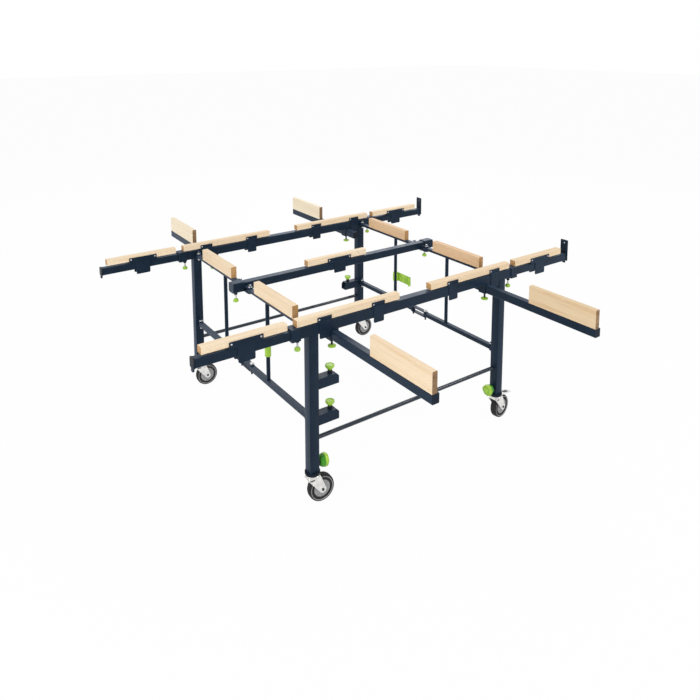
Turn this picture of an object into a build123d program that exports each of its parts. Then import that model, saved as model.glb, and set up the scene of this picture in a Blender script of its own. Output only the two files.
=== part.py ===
from build123d import *
import os

os.makedirs("parts", exist_ok=True)

# A mobile saw table. X runs along the two long rails, Y from the front rail to the back rail.
# The origin is on the floor under the middle of the table. All sizes are millimetres.

# Driving dimensions
table_height = 704
overall_length = 1810
overall_width = 2116
leg_spacing_x = 940
leg_spacing_y = 1024

# Clearances shared by all the fits
slide_gap = 0.3
pin_gap = 0.1
cut_overrun = 5
tube_corner = 3

# Long rails
rail_width = 36
rail_height = 38
rail_wall = 2
rail_length = 1110
slat_lift = 29
rail_top = table_height - slat_lift
rail_bottom = rail_top - rail_height
rail_y = leg_spacing_y / 2
rail_end = rail_length / 2
end_collar_length = 35
end_collar_lip = 3.5

# Rail extensions
extension_width = 30
extension_height = 31
extension_wall = 1.6
extension_insert = 220
extension_z = rail_bottom + rail_height / 2
end_cap_thickness = 6
end_cap_lip = 1.5
end_cap_corner = 4
end_cap_foot = 12
end_cap_foot_width = 14
stop_height = 96
stop_width = 38
stop_thickness = 4
stop_hole = 7
stop_hole_drop = 14

# Wooden slats on the rails and extensions
slat_thickness = 24
slat_width = 29
slat_rounding = 1.5
slat_bottom = table_height - slat_thickness
main_slat_inner_left = 88
main_slat_inner_right = 70
main_slat_inset_left = 20
main_slat_inset_right = 40
main_slat_outer_left = rail_end - main_slat_inset_left
main_slat_outer_right = rail_end - main_slat_inset_right
extension_slat_gap = 37
extension_slat_inset_left = 26
extension_slat_inset_right = 48
extension_slat_end_left = overall_length / 2 - extension_slat_inset_left
extension_slat_end_right = overall_length / 2 - extension_slat_inset_right

# Clips that hold the slats on the rails
clip_wall = 2.5
clip_drop = 57
clip_rise = 15
narrow_clip_length = 58
narrow_clip_leg_length = 46
wide_clip_length = 122
wide_clip_leg_length = 61
clip_foot_rounding = 5
narrow_clip_inset = 131
narrow_clip_outer = rail_end - narrow_clip_inset
narrow_clip_inner_left = 189
narrow_clip_inner_right = 185
narrow_clips_left = (-narrow_clip_outer, -narrow_clip_inner_left)
narrow_clip_places = narrow_clips_left + (narrow_clip_inner_right, narrow_clip_outer)
extension_clip_reach_left = 169
extension_clip_reach_right = 158
extension_clip_left = rail_end + extension_clip_reach_left
extension_clip_right = rail_end + extension_clip_reach_right

# Legs
leg_size = 38
leg_wall = 2
leg_bottom = 130
collar_diameter = 56
collar_height = 22
collar_rounding = 5
inner_leg_wall = 2
inner_leg_length = 330
inner_leg_plug = 36
tie_rod_diameter = 12.5
tie_rod_z = 242.5

# Casters
wheel_diameter = 100
wheel_width = 30
tyre_depth = 13
tyre_rounding = 7
disc_recess = 3
hub_diameter = 34
axle_diameter = 8
axle_head_diameter = 14
axle_head_length = 5
caster_trail = 32
fork_gap = 3
fork_wall = 2.5
fork_foot_radius = 13
swivel_diameter = 54
swivel_height = 4
fork_crown_reach = 24
caster_stem_diameter = 11
caster_stem_length = 30
brake_bend = 52
brake_length = 58
brake_width = 26
brake_thickness = 3
brake_slope = 13
brake_slot_length = 14
brake_slot_width = 5
braked_casters = ("front_right", "back_right")
swivel_turns = {"front_left": -5, "front_right": 9, "back_left": -3, "back_right": 2}

# Leg clamp knobs
leg_knob_z = 148
leg_knob_diameter = 58
leg_knob_neck = 24
leg_knob_neck_length = 9
leg_knob_flare_length = 20
leg_knob_dome_length = 11
leg_knob_screw = 8
flare_share = 0.62
knob_flat_share = 0.81
dome_share = 0.8

# Small clamp knobs, each as boss, stem and mushroom grip
clamp_boss_diameter = 14
clamp_boss_height = 12
clamp_stem_diameter = 7
clamp_stem_height = 16
clamp_grip_diameter = 22
clamp_grip_height = 16
clamp_knob_inset = 29
arm_boss_diameter = 16
arm_boss_height = 2
arm_stem_diameter = 8
arm_stem_height = 20
arm_grip_diameter = 30
arm_grip_height = 10
grip_neck_share = 0.52
grip_cap_share = 0.46
grip_flare_share = 0.42
grip_rounding_share = 0.8

# Cross arms
arm_place_x = 384.4
arm_width = 28.5
arm_height = 32.4
arm_wall = 1.6
arm_inner_end = 425
arm_drop = 3
arm_top = rail_bottom - arm_drop
arm_z = arm_top - arm_height / 2
arm_outer_end = overall_width / 2
arm_pushed_in = {(-1, 1): 28}
strap_wall = 3
strap_length = 36
board_thickness = 20
board_length = 300
board_rounding = 2

# Transport sockets for the arms
socket_width = 36
socket_height = 38
socket_length = 85
socket_drop = 185
socket_pitch = 136
socket_high_z = rail_bottom - socket_drop
socket_low_z = socket_high_z - socket_pitch
socket_chamfer = 10
socket_knob_inset = 28
socket_boss_diameter = 18
socket_boss_height = 3
socket_stem_diameter = 16
socket_stem_height = 12
socket_grip_diameter = 34
socket_grip_height = 17
socket_places_z = (socket_low_z, socket_high_z)

# Folding end frames
pivot_y = 480
link_y = 45
top_bar_width = 20
top_bar_height = 12
top_bar_drop = 30
top_bar_bottom = rail_top - top_bar_drop
lower_bar_size = 19
lower_bar_z = 320
post_diameter = 16
post_y = 190
panel_slat_width = 25
panel_slat_near = 104
panel_slat_far = 404
holder_length = 150
holder_thickness = 2.5
holder_height = 26
holder_y = 280

# Pivot ears, links and pins
pin_diameter = 8
ear_thickness = 4
ear_reach = 10
pin_head_diameter = 15
pin_head_height = 10
link_plate_thickness = 6
lower_pin_tail = 14
link_width = 22

# Centre beam
beam_half_length = 528
beam_height = 32
beam_wall = 2
centre_slat_left = 179
centre_slat_right = 131
centre_clip_x = -15.5
centre_clip_drop = 48
centre_knob_inset_left = 16
centre_knob_inset_right = 30
centre_knob_left = beam_half_length - centre_knob_inset_left
centre_knob_right = beam_half_length - centre_knob_inset_right
beam_sleeve_length = 46
beam_sleeve_wall = 4

# Transport hooks
hook_length = 93
hook_height = 45
hook_bottom = 420
hook_thickness = 2
hook_lip = 16
hook_ring_wall = 4.5

# Sizes that follow from the ones above
leg_x = leg_spacing_x / 2
leg_y = leg_spacing_y / 2
rail_inner_face = rail_y - rail_width / 2
leg_inner_face = leg_y - leg_size / 2
inner_leg_size = leg_size - 2 * leg_wall - 2 * slide_gap
collar_bottom = leg_bottom - collar_height
wheel_radius = wheel_diameter / 2
fork_top = collar_bottom - slide_gap
top_bar_top = top_bar_bottom + top_bar_height
lower_bar_top = lower_bar_z + lower_bar_size / 2
lower_bar_bottom = lower_bar_z - lower_bar_size / 2
beam_top = rail_top
beam_bottom = beam_top - beam_height
pin_radius = pin_diameter / 2
extension_end = overall_length / 2


def block(x0, x1, y0, y1, z0, z1):
    """A box between two planes on each axis, given in either order."""
    size = (abs(x1 - x0), abs(y1 - y0), abs(z1 - z0))
    return Pos((x0 + x1) / 2, (y0 + y1) / 2, (z0 + z1) / 2) * Box(*size)


def bar(x0, x1, y, z, width, height):
    """A solid bar along X with its section centred on y and z."""
    return block(x0, x1, y - width / 2, y + width / 2, z - height / 2, z + height / 2)


def rounded(shape, axis, radius):
    """The same shape with its long corners rounded."""
    return fillet(shape.edges().filter_by(axis), radius)


def tube(x0, x1, y, z, width, height, wall):
    """A rectangular tube along X with rounded corners, open at both ends."""
    outer = rounded(bar(x0, x1, y, z, width, height), Axis.X, tube_corner)
    low, high = min(x0, x1) - cut_overrun, max(x0, x1) + cut_overrun
    return outer - bar(low, high, y, z, width - 2 * wall, height - 2 * wall)


def post_between(x, y, z0, z1, diameter):
    """A round upright bar between two heights."""
    return Pos(x, y, (z0 + z1) / 2) * Cylinder(diameter / 2, abs(z1 - z0))


def rod_along_x(x0, x1, y, z, diameter):
    """A round bar along X."""
    return Pos((x0 + x1) / 2, y, z) * Rot(0, 90, 0) * Cylinder(diameter / 2, abs(x1 - x0))


def grip(diameter, height):
    """A mushroom grip on its axis from z = 0 up: a neck, a short flare and a rounded cap."""
    up = (Align.CENTER, Align.CENTER, Align.MIN)
    neck = diameter * grip_neck_share / 2
    cap_height = height * grip_cap_share
    flare_height = height * grip_flare_share
    neck_height = height - cap_height - flare_height
    cap = Cylinder(diameter / 2, cap_height, align=up)
    cap = fillet(cap.edges().group_by(Axis.Z)[-1], cap_height * grip_rounding_share)
    body = Cylinder(neck, neck_height, align=up)
    body += Pos(0, 0, neck_height) * Cone(neck, diameter / 2, flare_height, align=up)
    return body + Pos(0, 0, neck_height + flare_height) * cap


def clamp_knob(boss_diameter, boss_height, stem_diameter, stem_height, grip_diameter, grip_height):
    """A screw boss, its stem and its grip, one above the other from z = 0 up."""
    up = (Align.CENTER, Align.CENTER, Align.MIN)
    body = Cylinder(boss_diameter / 2, boss_height, align=up)
    body += Pos(0, 0, boss_height) * Cylinder(stem_diameter / 2, stem_height, align=up)
    return body + Pos(0, 0, boss_height + stem_height) * grip(grip_diameter, grip_height)


def rail_clamp(x, y, top):
    """The small knob that hangs under a tube end."""
    boss = (clamp_boss_diameter, clamp_boss_height)
    stem = (clamp_stem_diameter, clamp_stem_height)
    return Pos(x, y, top) * Rot(180, 0, 0) * clamp_knob(*boss, *stem, clamp_grip_diameter, clamp_grip_height)


def arm_clamp(x, y, top):
    """The knob that hangs under an arm strap."""
    boss = (arm_boss_diameter, arm_boss_height)
    stem = (arm_stem_diameter, arm_stem_height)
    return Pos(x, y, top) * Rot(180, 0, 0) * clamp_knob(*boss, *stem, arm_grip_diameter, arm_grip_height)


def socket_clamp(x, y, base):
    """The knob that stands on a transport socket."""
    boss = (socket_boss_diameter, socket_boss_height)
    stem = (socket_stem_diameter, socket_stem_height)
    return Pos(x, y, base) * clamp_knob(*boss, *stem, socket_grip_diameter, socket_grip_height)


def save(name, *shapes):
    """Write the solids of one node."""
    solids = [solid for shape in shapes for solid in shape.solids()]
    node = solids[0] if len(solids) == 1 else Compound(children=solids)
    export_step(node, "parts/" + name + ".step")


# Slats and their clips
def slat(x0, x1, y, width):
    """A wooden strip with its top face at table height."""
    strip = block(x0, x1, y - width / 2, y + width / 2, slat_bottom, table_height)
    return fillet(strip.edges().filter_by(Axis.X).group_by(Axis.Z)[-1], slat_rounding)


def clip(x, y, seat_width, seat_z, length, leg_length, drop):
    """A saddle that hugs a tube below and holds a slat between two low cheeks above."""
    half = seat_width / 2
    outer = half + clip_wall
    cheek = slat_width / 2
    seat_top = slat_bottom
    bridge = block(x - length / 2, x + length / 2, y - outer, y + outer, seat_z, seat_top)
    cheek_top = seat_top + clip_rise
    for side in (-1, 1):
        bridge += block(
            x - length / 2, x + length / 2,
            y + side * cheek, y + side * (cheek + clip_wall),
            seat_top, cheek_top,
        )
        leg = block(
            x - leg_length / 2, x + leg_length / 2,
            y + side * half, y + side * outer,
            seat_top - drop, seat_top,
        )
        foot_edges = leg.edges().filter_by(Axis.Y).group_by(Axis.Z)[0]
        bridge += fillet(foot_edges, clip_foot_rounding)
    return bridge


def main_slats(y):
    left = slat(-main_slat_outer_left, -main_slat_inner_left, y, slat_width)
    right = slat(main_slat_inner_right, main_slat_outer_right, y, slat_width)
    return [left, right]


def narrow_clips(y):
    sizes = (narrow_clip_length, narrow_clip_leg_length, clip_drop + slat_bottom - rail_top)
    return [clip(x, y, rail_width, rail_top, *sizes) for x in narrow_clip_places]


# Legs and rails
def leg(x, y, knob_side):
    """The outer tube of a leg with its rounded foot collar and the hole for the clamp screw."""
    half = leg_size / 2
    column = block(x - half, x + half, y - half, y + half, leg_bottom, rail_bottom)
    column = rounded(column, Axis.Z, tube_corner)
    collar = post_between(x, y, collar_bottom, leg_bottom, collar_diameter)
    collar = fillet(collar.edges().group_by(Axis.Z)[0], collar_rounding)
    bore = leg_size / 2 - leg_wall
    low, high = collar_bottom - cut_overrun, rail_bottom - leg_wall
    hollow = block(x - bore, x + bore, y - bore, y + bore, low, high)
    hole = rod_along_x(x, x + knob_side * leg_size, y, leg_knob_z, leg_knob_screw + 2 * slide_gap)
    return column + collar - hollow - hole


def tie_rod(y):
    reach = leg_x - leg_size / 2
    return rod_along_x(-reach, reach, y, tie_rod_z, tie_rod_diameter)


def end_collar(side, y):
    """A sleeve round the end of a rail that closes down to a sliding fit on the extension."""
    start = side * (rail_end - end_collar_length + end_collar_lip)
    end = side * (rail_end + end_collar_lip)
    width = rail_width + 2 * end_collar_lip
    height = rail_height + 2 * end_collar_lip
    sleeve = bar(start, end, y, extension_z, width, height)
    sleeve -= bar(start - side * cut_overrun, side * rail_end, y, extension_z, rail_width, rail_height)
    bore_width = extension_width + 2 * slide_gap
    bore_height = extension_height + 2 * slide_gap
    inner, outer = side * (rail_end - cut_overrun), end + side * cut_overrun
    sleeve -= bar(inner, outer, y, extension_z, bore_width, bore_height)
    return sleeve


def arm_strap(x, side):
    """The sleeve under a rail that a cross arm slides through, with ears up both faces of the rail."""
    y = side * rail_y
    half = arm_width / 2 + slide_gap
    outer = half + strap_wall
    low = arm_top - arm_height - slide_gap
    reach = strap_length / 2
    sleeve = block(x - outer, x + outer, y - reach, y + reach, low - strap_wall, rail_bottom)
    reach = strap_length / 2 + cut_overrun
    return sleeve - block(x - half, x + half, y - reach, y + reach, low, arm_top + slide_gap)


def ear_pair(x, y_wall, y_pin, low, high):
    """Two plates from a wall to a pin, above and below a bar end, joined by the pin."""
    plates = []
    pin_low = low - slide_gap - ear_thickness
    pin_high = high + slide_gap + ear_thickness
    for z0, z1 in ((pin_low, low - slide_gap), (high + slide_gap, pin_high)):
        plate = block(x - ear_reach, x + ear_reach, y_wall, y_pin, z0, z1)
        plate += post_between(x, y_pin, z0, z1, 2 * ear_reach)
        plates.append(plate)
    pin = post_between(x, y_pin, pin_low, pin_high, pin_diameter)
    return plates[0] + plates[1] + pin + pin_dome(x, y_pin, high + slide_gap + ear_thickness)


def pin_dome(x, y, z):
    """The domed head of a pivot pin."""
    radius = pin_head_diameter / 2
    dome = post_between(x, y, z, z + pin_head_height, pin_head_diameter)
    return fillet(dome.edges().group_by(Axis.Z)[-1], radius - pin_radius)


def end_ears(side):
    """The four pivot ears of one rail and its two legs."""
    y_pin = side * pivot_y
    ears = []
    for x in (-leg_x, leg_x):
        ears.append(ear_pair(x, side * rail_inner_face, y_pin, top_bar_bottom, top_bar_top))
        ears.append(ear_pair(x, side * leg_inner_face, y_pin, lower_bar_bottom, lower_bar_top))
    return ears


def rail_brackets(side):
    y = side * rail_y
    collars = [end_collar(-1, y), end_collar(1, y)]
    straps = [arm_strap(-arm_place_x, side), arm_strap(arm_place_x, side)]
    return collars + straps + end_ears(side)


def rail_knobs(side):
    """The clamp knobs under the rail ends and under the two arm straps."""
    y = side * rail_y
    ends = (-rail_end + clamp_knob_inset, rail_end - clamp_knob_inset)
    knobs = [rail_clamp(x, y, rail_bottom - end_collar_lip) for x in ends]
    strap_bottom = arm_top - arm_height - slide_gap - strap_wall
    return knobs + [arm_clamp(x, y, strap_bottom) for x in (-arm_place_x, arm_place_x)]


def socket(side, z):
    """A sleeve on the inner face of a leg that holds a cross arm for transport."""
    start = side * (leg_x - leg_size / 2)
    end = side * (leg_x - leg_size / 2 - socket_length)
    y = side * rail_y
    shell = bar(start, end, y, z, socket_width, socket_height)
    outer_edge = shell.edges().filter_by(Axis.Y).group_by(Axis.Z)[-1]
    shell = chamfer(outer_edge.sort_by(Axis.X)[0 if side > 0 else -1], socket_chamfer)
    bore_width = arm_width + 2 * slide_gap
    bore_height = arm_height + 2 * slide_gap
    return shell - bar(start + side * cut_overrun, end - side * cut_overrun, y, z, bore_width, bore_height)


def socket_knob(side, z):
    """The clamp knob of one socket."""
    x = side * (leg_x - leg_size / 2 - socket_length + socket_knob_inset)
    return socket_clamp(x, side * rail_y, z + socket_height / 2)


def build_long_frame(name, side):
    """One long rail with everything that is fixed to it."""
    y = side * rail_y
    save(name + "_rail", tube(-rail_end, rail_end, y, extension_z, rail_width, rail_height, rail_wall))
    save(name + "_leg_frame", leg(-leg_x, y, 1), leg(leg_x, y, -1), tie_rod(y))
    save(name + "_slats", *main_slats(y))
    save(name + "_slat_clips", *narrow_clips(y))
    save(name + "_brackets", *rail_brackets(side))
    save(name + "_arm_sockets", *[socket(side, z) for z in socket_places_z])
    knobs = rail_knobs(side) + [socket_knob(side, z) for z in socket_places_z]
    save(name + "_clamp_knobs", *knobs)


# Rail extensions
def extension(side, y):
    """A tube that slides out of a rail end, with its end cap and the clip of its slat."""
    outer = side * (extension_end - end_cap_thickness)
    inner = side * (rail_end - extension_insert)
    pieces = [tube(inner, outer, y, extension_z, extension_width, extension_height, extension_wall)]
    cap_width = extension_width + 2 * end_cap_lip
    cap_height = extension_height + 2 * end_cap_lip
    cap = bar(outer, side * extension_end, y, extension_z, cap_width, cap_height)
    cap = rounded(cap, Axis.X, end_cap_corner)
    low = extension_z - cap_height / 2
    half_foot = end_cap_foot_width / 2
    cap += block(outer, side * extension_end, y - half_foot, y + half_foot, low - end_cap_foot, low)
    if side > 0:
        cap += stop_plate(outer, y, low)
    pieces.append(cap)
    place = extension_clip_right if side > 0 else -extension_clip_left
    seat = extension_z + extension_height / 2
    drop = clip_drop + slat_bottom - rail_top
    pieces.append(clip(place, y, extension_width, seat, wide_clip_length, wide_clip_leg_length, drop))
    return pieces


def stop_plate(x, y, low):
    """The upright work stop at the right end of an extension."""
    high = low + stop_height
    plate = block(x, x + stop_thickness, y - stop_width / 2, y + stop_width / 2, low, high)
    plate = fillet(plate.edges().filter_by(Axis.X).group_by(Axis.Z)[-1], slat_rounding * 2)
    end = x + stop_thickness + cut_overrun
    hole = rod_along_x(x - cut_overrun, end, y, high - stop_hole_drop, stop_hole)
    return plate - hole


def extension_slat(side, y):
    if side > 0:
        return slat(main_slat_outer_right + extension_slat_gap, extension_slat_end_right, y, slat_width)
    return slat(-extension_slat_end_left, -main_slat_outer_left - extension_slat_gap, y, slat_width)


# Cross arms
def arm(side_x, side_y):
    """A tube that slides across under a rail, closed by a plug at each end."""
    x = side_x * arm_place_x
    pushed_in = arm_pushed_in.get((side_x, side_y), 0)
    ends = (side_y * (arm_inner_end - pushed_in), side_y * (arm_outer_end - pushed_in))
    half_width, half_height = arm_width / 2, arm_height / 2
    body = block(x - half_width, x + half_width, ends[0], ends[1], arm_z - half_height, arm_z + half_height)
    body = rounded(body, Axis.Y, tube_corner)
    hollow_ends = (ends[0] + side_y * end_cap_thickness, ends[1] - side_y * end_cap_thickness)
    half_width, half_height = half_width - arm_wall, half_height - arm_wall
    low, high = arm_z - half_height, arm_z + half_height
    return body - block(x - half_width, x + half_width, *hollow_ends, low, high)


def board(side_x, side_y):
    """The upright wooden support on the outer end of an arm."""
    x = side_x * arm_place_x - arm_width / 2
    end = arm_outer_end - arm_pushed_in.get((side_x, side_y), 0)
    outer = side_y * end
    inner = side_y * (end - board_length)
    plank = block(x, x + board_thickness, inner, outer, arm_top, table_height)
    return fillet(plank.edges().filter_by(Axis.Y).group_by(Axis.Z)[-1], board_rounding)


# Folding end frames
def pivot_bar(x, y_leg, y_link, z, width, height):
    """A bar along Y with a round pivot eye at both ends."""
    half = width / 2
    body = block(x - half, x + half, y_leg, y_link, z - height / 2, z + height / 2)
    for y in (y_leg, y_link):
        body += post_between(x, y, z - height / 2, z + height / 2, width)
    for y in (y_leg, y_link):
        body -= post_between(x, y, z - height, z + height, pin_diameter + 2 * pin_gap)
    return body


def panel(side_x, side_y):
    """One half of an end frame: a top bar, a lower bar and the post between them."""
    x = side_x * leg_x
    y_leg, y_link = side_y * pivot_y, side_y * link_y
    top_z = top_bar_bottom + top_bar_height / 2
    top = pivot_bar(x, y_leg, y_link, top_z, top_bar_width, top_bar_height)
    low = pivot_bar(x, y_leg, y_link, lower_bar_z, lower_bar_size, lower_bar_size)
    y = side_y * post_y
    post = post_between(x, y, lower_bar_top, top_bar_bottom, post_diameter)
    return [top, low, post]


def panel_slat(side_x, side_y):
    """The upright wooden strip on a top bar."""
    x = side_x * leg_x
    half = panel_slat_width / 2
    ends = (side_y * panel_slat_near, side_y * panel_slat_far)
    strip = block(x - half, x + half, *ends, top_bar_top, table_height)
    return fillet(strip.edges().filter_by(Axis.Y).group_by(Axis.Z)[-1], slat_rounding)


def holder():
    """The thin tool holder on the inner face of the left back slat."""
    face = -leg_x + panel_slat_width / 2
    half = holder_length / 2
    low = top_bar_top + holder_thickness
    return block(face, face + holder_thickness, holder_y - half, holder_y + half, low, low + holder_height)


def hook(side):
    """A ring that turns on a post, with a flat tongue and a turned lip for the folded frame."""
    x, y = side * leg_x, side * post_y
    bore = post_diameter + 2 * slide_gap
    outer = bore / 2 + hook_ring_wall
    top = hook_bottom + hook_height
    ring = post_between(x, y, hook_bottom, top, 2 * outer)
    face = x - side * outer
    inward = face + side * hook_thickness
    tip = y - side * (hook_length + outer)
    body = ring + block(face, inward, y, tip, hook_bottom, top)
    lip_end = tip + side * hook_thickness
    body += block(face, face + side * hook_lip, lip_end, tip, hook_bottom, top)
    return body - post_between(x, y, hook_bottom - cut_overrun, top + cut_overrun, bore)


# Centre beam and links
def upper_link(x):
    """The saddle under the centre beam that carries the upper pivot pins of one end."""
    half = link_width / 2
    low = beam_bottom - link_plate_thickness
    plate = block(x - half, x + half, -link_y, link_y, low, beam_bottom)
    for side in (-1, 1):
        y = side * link_y
        plate += post_between(x, y, low, beam_bottom, link_width)
        plate += post_between(x, y, beam_bottom, top_bar_top + slide_gap, pin_diameter)
        z0 = top_bar_top + slide_gap
        z1 = z0 + ear_thickness
        plate += block(x - ear_reach, x + ear_reach, side * rail_width / 2, y, z0, z1)
        plate += post_between(x, y, z0, z1, 2 * ear_reach)
        plate += pin_dome(x, y, z1)
    return plate


def lower_link(x):
    """Two plates joined by the lower pivot pins of one end."""
    half = link_width / 2
    body = None
    for z0, z1 in (
        (lower_bar_bottom - slide_gap - ear_thickness, lower_bar_bottom - slide_gap),
        (lower_bar_top + slide_gap, lower_bar_top + slide_gap + ear_thickness),
    ):
        plate = block(x - half, x + half, -link_y, link_y, z0, z1)
        plate += [post_between(x, side * link_y, z0, z1, link_width) for side in (-1, 1)]
        body = plate if body is None else body + plate
    low = lower_bar_bottom - slide_gap - ear_thickness - lower_pin_tail
    high = lower_bar_top + slide_gap + ear_thickness
    return body + [post_between(x, side * link_y, low, high, pin_diameter) for side in (-1, 1)]


def beam_sleeve(side, z):
    """The rounded cap and sleeve at one end of the centre beam."""
    outer_end = side * (beam_half_length + beam_sleeve_wall)
    inner_end = side * (beam_half_length - beam_sleeve_length)
    width = rail_width + 2 * beam_sleeve_wall
    height = beam_height + 2 * beam_sleeve_wall
    sleeve = rounded(bar(inner_end, outer_end, 0, z, width, height), Axis.X, tube_corner + beam_sleeve_wall)
    core = bar(inner_end - side * cut_overrun, side * beam_half_length, 0, z, rail_width, beam_height)
    return sleeve - rounded(core, Axis.X, tube_corner)


def build_centre():
    beam_z = beam_bottom + beam_height / 2
    beam = tube(-beam_half_length, beam_half_length, 0, beam_z, rail_width, beam_height, beam_wall)
    drop = centre_clip_drop + slat_bottom - beam_top
    saddle = clip(centre_clip_x, 0, rail_width, beam_top, wide_clip_length, wide_clip_leg_length, drop)
    save("centre_beam", beam, saddle, beam_sleeve(-1, beam_z), beam_sleeve(1, beam_z))
    save("centre_slat", slat(-centre_slat_left, centre_slat_right, 0, slat_width))
    links = [maker(x) for x in (-leg_x, leg_x) for maker in (upper_link, lower_link)]
    save("hinge_links", *links)
    sleeve_bottom = beam_bottom - beam_sleeve_wall
    knobs = [rail_clamp(x, 0, sleeve_bottom) for x in (-centre_knob_left, centre_knob_right)]
    save("centre_clamp_knobs", *knobs)


# Telescopic legs, casters and leg clamp knobs
def inner_leg(x, y):
    """The sliding leg tube with the solid foot that takes the caster stem."""
    half = inner_leg_size / 2
    top = collar_bottom + inner_leg_length
    body = block(x - half, x + half, y - half, y + half, collar_bottom, top)
    bore = half - inner_leg_wall
    body -= block(x - bore, x + bore, y - bore, y + bore, collar_bottom + inner_leg_plug, top + cut_overrun)
    hole = caster_stem_diameter + 2 * pin_gap
    low, high = collar_bottom - cut_overrun, collar_bottom + caster_stem_length + slide_gap
    return body - post_between(x, y, low, high, hole)


def fork_cheek(side):
    """One side plate of a fork, tapering from the crown to the axle."""
    inner = wheel_width / 2 + fork_gap
    top = fork_top - swivel_height
    radius = swivel_diameter / 2
    outline = make_hull(
        [
            *Polyline((-radius, top - fork_wall), (-radius, top), (fork_crown_reach, top)).edges(),
            *(Pos(caster_trail, wheel_radius) * Circle(fork_foot_radius)).edges(),
        ]
    )
    plane = Plane.XZ.offset(-side * inner if side > 0 else inner)
    plate = extrude(plane * outline, amount=-side * fork_wall)
    return plate


def fork(braked):
    """A caster fork round the wheel, with its head, stem and axle, and a lever where it has a brake."""
    inner = wheel_width / 2 + fork_gap
    outer = inner + fork_wall
    top = fork_top - swivel_height
    crown = block(-swivel_diameter / 2, fork_crown_reach, -outer, outer, top - fork_wall, top)
    body = crown + fork_cheek(-1) + fork_cheek(1)
    body += post_between(0, 0, top, fork_top, swivel_diameter)
    body += post_between(0, 0, fork_top, collar_bottom + caster_stem_length, caster_stem_diameter)
    axle = Pos(caster_trail, 0, wheel_radius) * Rot(90, 0, 0) * Cylinder(axle_diameter / 2, 2 * outer)
    head = Pos(caster_trail, 0, wheel_radius) * Rot(90, 0, 0)
    head *= Cylinder(axle_head_diameter / 2, 2 * (outer + axle_head_length))
    window = Box(4 * axle_head_diameter, 2 * outer, 4 * axle_head_diameter)
    head -= Pos(caster_trail, 0, wheel_radius) * window
    body += axle
    body += head.solids()
    return body + brake_lever(top) if braked else body


def brake_lever(top):
    """The bent foot lever that reaches out over the wheel."""
    half = brake_width / 2
    root = block(0, brake_bend, -half, half, top - brake_thickness, top)
    pedal = Box(brake_length, brake_width, brake_thickness, align=(Align.MIN, Align.CENTER, Align.MAX))
    pedal = fillet(pedal.edges().filter_by(Axis.Z).group_by(Axis.X)[-1], half / 2)
    slot = extrude(SlotOverall(brake_slot_length, brake_slot_width), brake_length, both=True)
    pedal -= Pos(brake_length - brake_slot_length, 0, 0) * Rot(0, 0, 90) * slot
    return root + Pos(brake_bend - brake_thickness / 2, 0, top) * Rot(0, brake_slope, 0) * pedal


def wheel():
    """A tyre on a recessed disc with a round hub."""
    half = wheel_width / 2
    core = wheel_radius - tyre_depth
    tyre = Cylinder(wheel_radius, wheel_width) - Cylinder(core, wheel_width + cut_overrun)
    rim = tyre.edges().filter_by(GeomType.CIRCLE).sort_by(SortBy.RADIUS)[-2:]
    tyre = fillet(rim, tyre_rounding)
    disc = Cylinder(core, wheel_width - 2 * disc_recess)
    disc += Cylinder(hub_diameter / 2, wheel_width + 2 * (fork_gap - slide_gap))
    disc -= Cylinder(axle_diameter / 2 + pin_gap, 2 * wheel_width)
    stand = Pos(caster_trail, 0, wheel_radius) * Rot(90, 0, 0)
    return [stand * tyre, stand * disc]


def leg_knob(x, y, side):
    """A flared clamp knob on its screw, pointing along the table from a leg."""
    radius = leg_knob_diameter / 2
    neck = leg_knob_neck / 2
    waist = neck + (radius - neck) * flare_share
    tip = (leg_size - inner_leg_size) / 2 - slide_gap
    up = (Align.CENTER, Align.CENTER, Align.MIN)
    screw = Pos(0, 0, -tip) * Cylinder(leg_knob_screw / 2, tip + leg_knob_neck_length, align=up)
    body = screw + Pos(0, 0, slide_gap) * Cylinder(neck, leg_knob_neck_length - slide_gap, align=up)
    half_flare = leg_knob_flare_length / 2
    body += Pos(0, 0, leg_knob_neck_length) * Cone(neck, waist, half_flare, align=up)
    body += Pos(0, 0, leg_knob_neck_length + half_flare) * Cone(waist, radius, half_flare, align=up)
    dome = Cylinder(radius, leg_knob_dome_length, align=up)
    dome = fillet(dome.edges().group_by(Axis.Z)[-1], leg_knob_dome_length * dome_share)
    body += Pos(0, 0, leg_knob_neck_length + leg_knob_flare_length) * dome
    apothem = radius * knob_flat_share
    corners = RegularPolygon(apothem, 3, major_radius=False)
    grip = fillet(corners.vertices(), 2 * apothem - radius)
    body &= Pos(0, 0, -2 * tip) * extrude(grip, amount=2 * leg_knob_diameter)
    face = x + side * leg_size / 2
    return Pos(face, y, leg_knob_z) * Rot(0, side * 90, 0) * body


def build_leg_parts(name, side_x, side_y):
    x, y = side_x * leg_x, side_y * leg_y
    save(name + "_inner_leg", inner_leg(x, y))
    stand = Pos(x, y, 0) * Rot(0, 0, swivel_turns[name])
    save(name + "_caster_fork", stand * fork(name in braked_casters))
    save(name + "_wheel", *[stand * piece for piece in wheel()])
    save(name + "_leg_knob", leg_knob(x, y, -side_x))


def build_corner(name, side_x, side_y):
    """Everything at one corner that moves on its own."""
    y = side_y * rail_y
    save(name + "_extension", *extension(side_x, y))
    save(name + "_extension_slat", extension_slat(side_x, y))
    save(name + "_arm", arm(side_x, side_y))
    save(name + "_board", board(side_x, side_y))
    build_leg_parts(name, side_x, side_y)


def build_end_frames():
    for name_x, side_x in (("left", -1), ("right", 1)):
        for name_y, side_y in (("front", -1), ("back", 1)):
            name = name_x + "_" + name_y + "_panel"
            extra = [holder()] if side_x < 0 < side_y else []
            save(name, *panel(side_x, side_y), *extra)
            save(name + "_slat", panel_slat(side_x, side_y))
    save("left_front_hook", hook(-1))
    save("right_back_hook", hook(1))


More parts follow.
